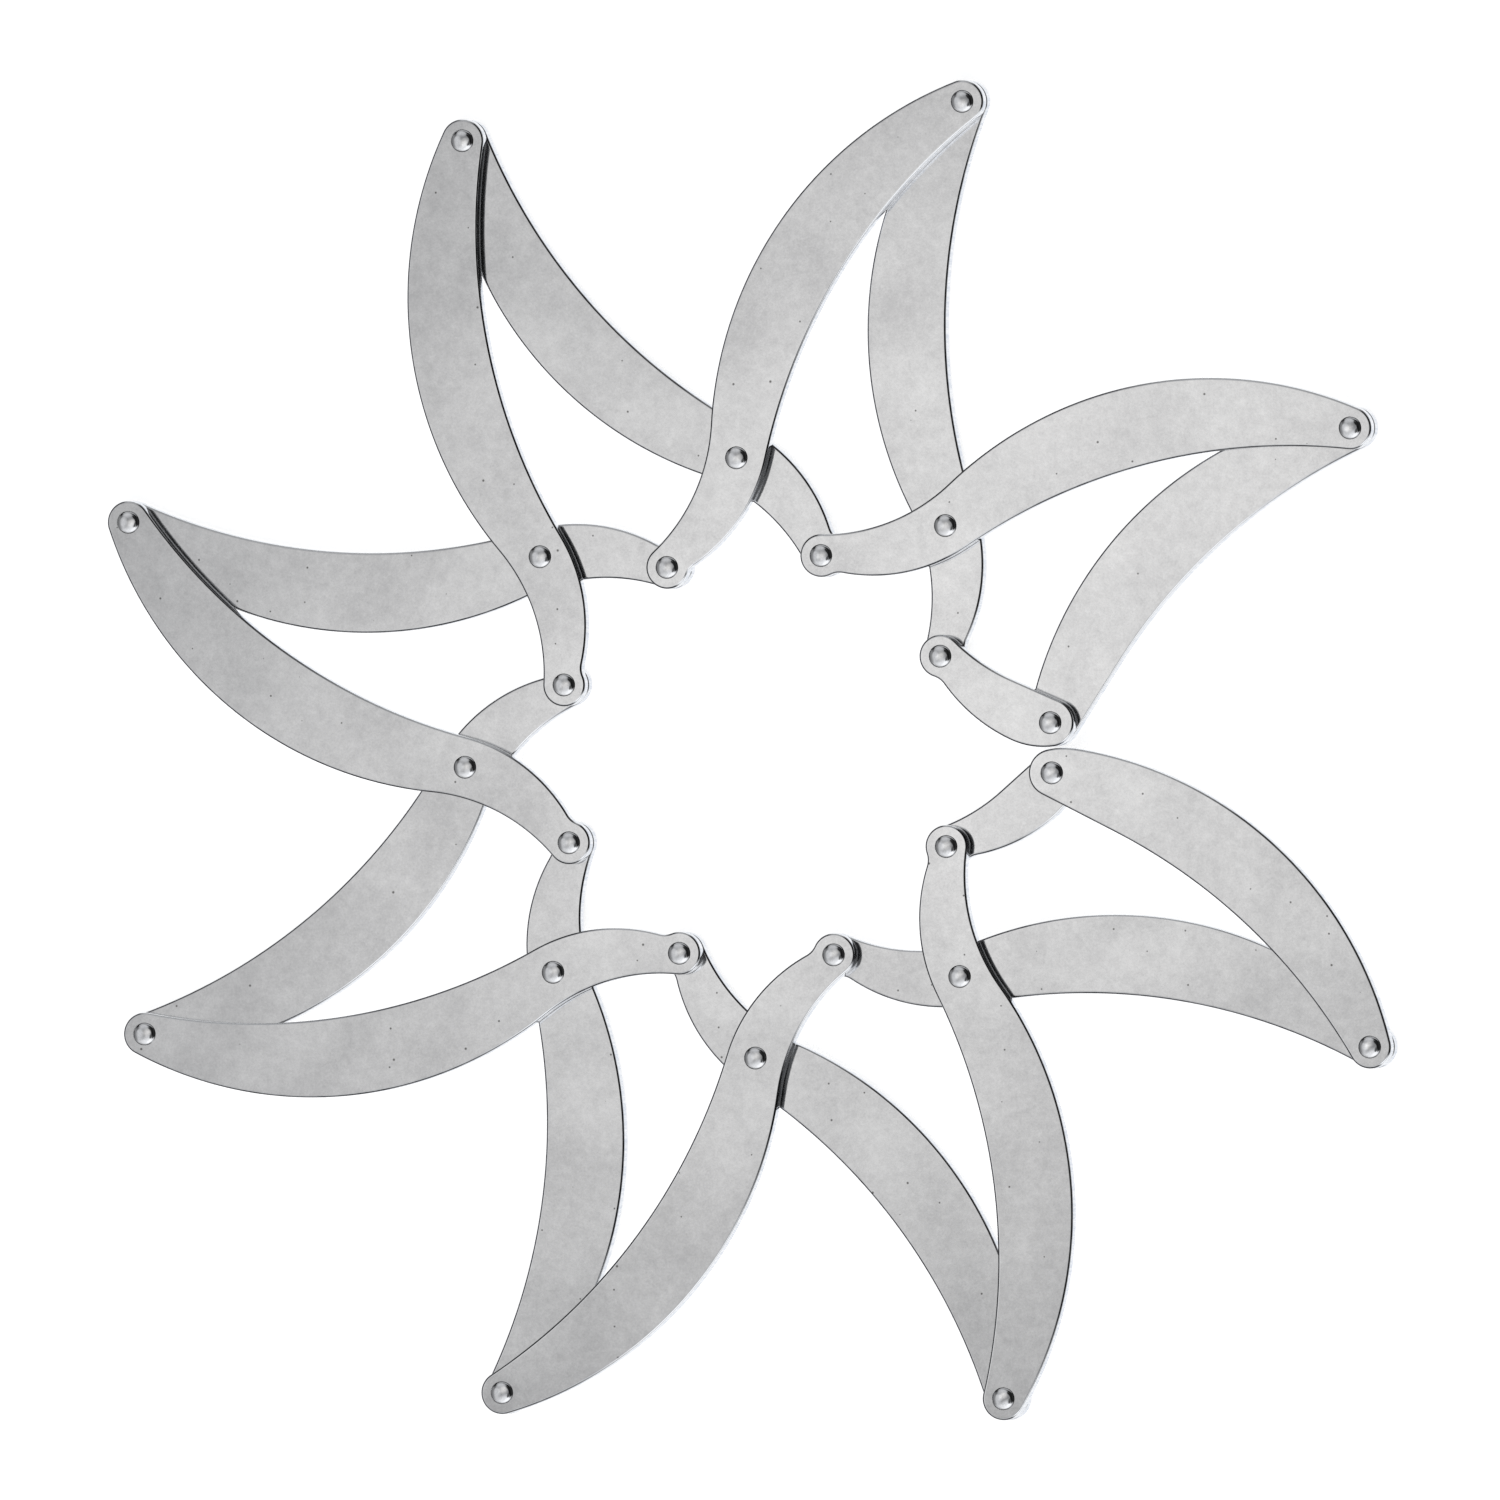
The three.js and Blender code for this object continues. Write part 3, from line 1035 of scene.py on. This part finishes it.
def make_studio_light():
    """A grey studio round the table, with the light and dark patches that the steel mirrors. Seen
    straight, the studio is plain white."""
    world = bpy.data.worlds.new("studio")
    bpy.context.scene.world = world
    world.use_nodes = True
    tree = world.node_tree
    tree.nodes.clear()
    way = tree.nodes.new("ShaderNodeTexCoord").outputs["Generated"]
    height = add(tree, "ShaderNodeSeparateXYZ", {0: way}).outputs["Z"]
    walls = tree.nodes.new("ShaderNodeValToRGB")
    tree.links.new(ramp(tree, height, -1.0, 1.0), walls.inputs[0])
    while len(walls.color_ramp.elements) < len(STUDIO_WALLS):
        walls.color_ramp.elements.new(0.5)
    for element, (z, grey) in zip(walls.color_ramp.elements, STUDIO_WALLS):
        element.position = (z + 1) / 2
        element.color = (grey, grey, grey, 1)
    light = walls.outputs[0]
    for _, azimuth, zenith_angle, inner, outer, grey in STUDIO_PATCHES:
        along = vector_node(tree, "DOT_PRODUCT", way, direction(azimuth, zenith_angle))
        rim = math.cos(math.radians(outer))
        core = math.cos(math.radians(inner))
        share = ramp(tree, along, rim, core, shape="SMOOTHSTEP")
        light = colour_mix(tree, share, light, (grey, grey, grey, 1))
    light = colour_mix(tree, 1.0, light, STUDIO_TINT, "MULTIPLY")
    studio = add(tree, "ShaderNodeBackground", {"Color": light, "Strength": 1.0})
    white = add(tree, "ShaderNodeBackground", {"Color": WHITE, "Strength": 1.0})
    seen = tree.nodes.new("ShaderNodeLightPath").outputs["Is Camera Ray"]
    both = add(
        tree, "ShaderNodeMixShader", {0: seen, 1: studio.outputs[0], 2: white.outputs[0]}
    )
    give_surface(tree, both, "ShaderNodeOutputWorld")


def disc(name, radius, sides, middle):
    body = bmesh.new()
    bmesh.ops.create_circle(body, cap_ends=True, radius=radius, segments=sides)
    bmesh.ops.translate(body, verts=body.verts, vec=middle)
    mesh = bpy.data.meshes.new(name)
    body.to_mesh(mesh)
    body.free()
    return linked(name, mesh)


def make_overhead_panel():
    """A glowing oval panel over the table, brightest in its middle. It shows only as a reflection
    in the steel."""
    panel = disc("overhead_panel", PANEL_RADIUS * PANEL_STRETCH, PANEL_SIDES, PANEL_PLACE)
    material, tree = new_material("overhead_panel_glow")
    place = tree.nodes.new("ShaderNodeTexCoord").outputs["Object"]
    from_middle = vector_node(tree, "SUBTRACT", place, PANEL_PLACE)
    turned = add(
        tree,
        "ShaderNodeVectorRotate",
        {"Vector": from_middle, "Angle": -PANEL_TURN},
        rotation_type="Z_AXIS",
    ).outputs[0]
    rounded = vector_node(tree, "MULTIPLY", turned, (1 / PANEL_STRETCH, PANEL_STRETCH, 1.0))
    off_middle = vector_node(tree, "LENGTH", rounded)
    fade = ramp(tree, off_middle, 0.0, PANEL_RADIUS, PANEL_LIGHT, 0.0, shape="SMOOTHSTEP")
    mirrored = tree.nodes.new("ShaderNodeLightPath").outputs["Is Glossy Ray"]
    strength = math_node(tree, "MULTIPLY", fade, mirrored)
    glow = add(tree, "ShaderNodeEmission", {"Color": PANEL_COLOUR, "Strength": strength})
    clear = tree.nodes.new("ShaderNodeBsdfTransparent")
    give_surface(
        tree, add(tree, "ShaderNodeAddShader", {0: glow.outputs[0], 1: clear.outputs[0]})
    )
    panel.data.materials.append(material)


def make_table():
    """A white table top that keeps a faint shadow. It can be looked through from below, and what
    lies on it mirrors the room through it."""
    table = disc("white_table", TABLE_RADIUS, TABLE_SIDES, (0, 0, TABLE_LEVEL))
    material, tree = new_material("white_table_top")
    path = tree.nodes.new("ShaderNodeLightPath").outputs
    mirrored = math_node(tree, "MAXIMUM", path["Is Glossy Ray"], path["Is Transmission Ray"])
    shown = math_node(tree, "MAXIMUM", path["Is Camera Ray"], mirrored)
    strength = math_node(tree, "MULTIPLY", shown, TABLE_GLOW)
    glow = add(tree, "ShaderNodeEmission", {"Color": WHITE, "Strength": strength})
    paper = add(tree, "ShaderNodeBsdfDiffuse", {"Color": TABLE_PAPER})
    lit = add(tree, "ShaderNodeAddShader", {0: glow.outputs[0], 1: paper.outputs[0]})
    under = tree.nodes.new("ShaderNodeNewGeometry").outputs["Backfacing"]
    close = math_node(tree, "LESS_THAN", path["Ray Length"], TABLE_CLEARANCE)
    from_steel = math_node(tree, "MULTIPLY", close, path["Is Glossy Ray"])
    open_here = math_node(tree, "MAXIMUM", under, from_steel)
    clear = tree.nodes.new("ShaderNodeBsdfTransparent")
    give_surface(
        tree,
        add(
            tree,
            "ShaderNodeMixShader",
            {0: open_here, 1: lit.outputs[0], 2: clear.outputs[0]},
        ),
    )
    table.data.materials.append(material)


bpy.context.scene.view_settings.view_transform = "Standard"
make_camera()
make_bars(satin_steel())
make_rivets(polished_steel())
make_table()
make_overhead_panel()
make_studio_light()
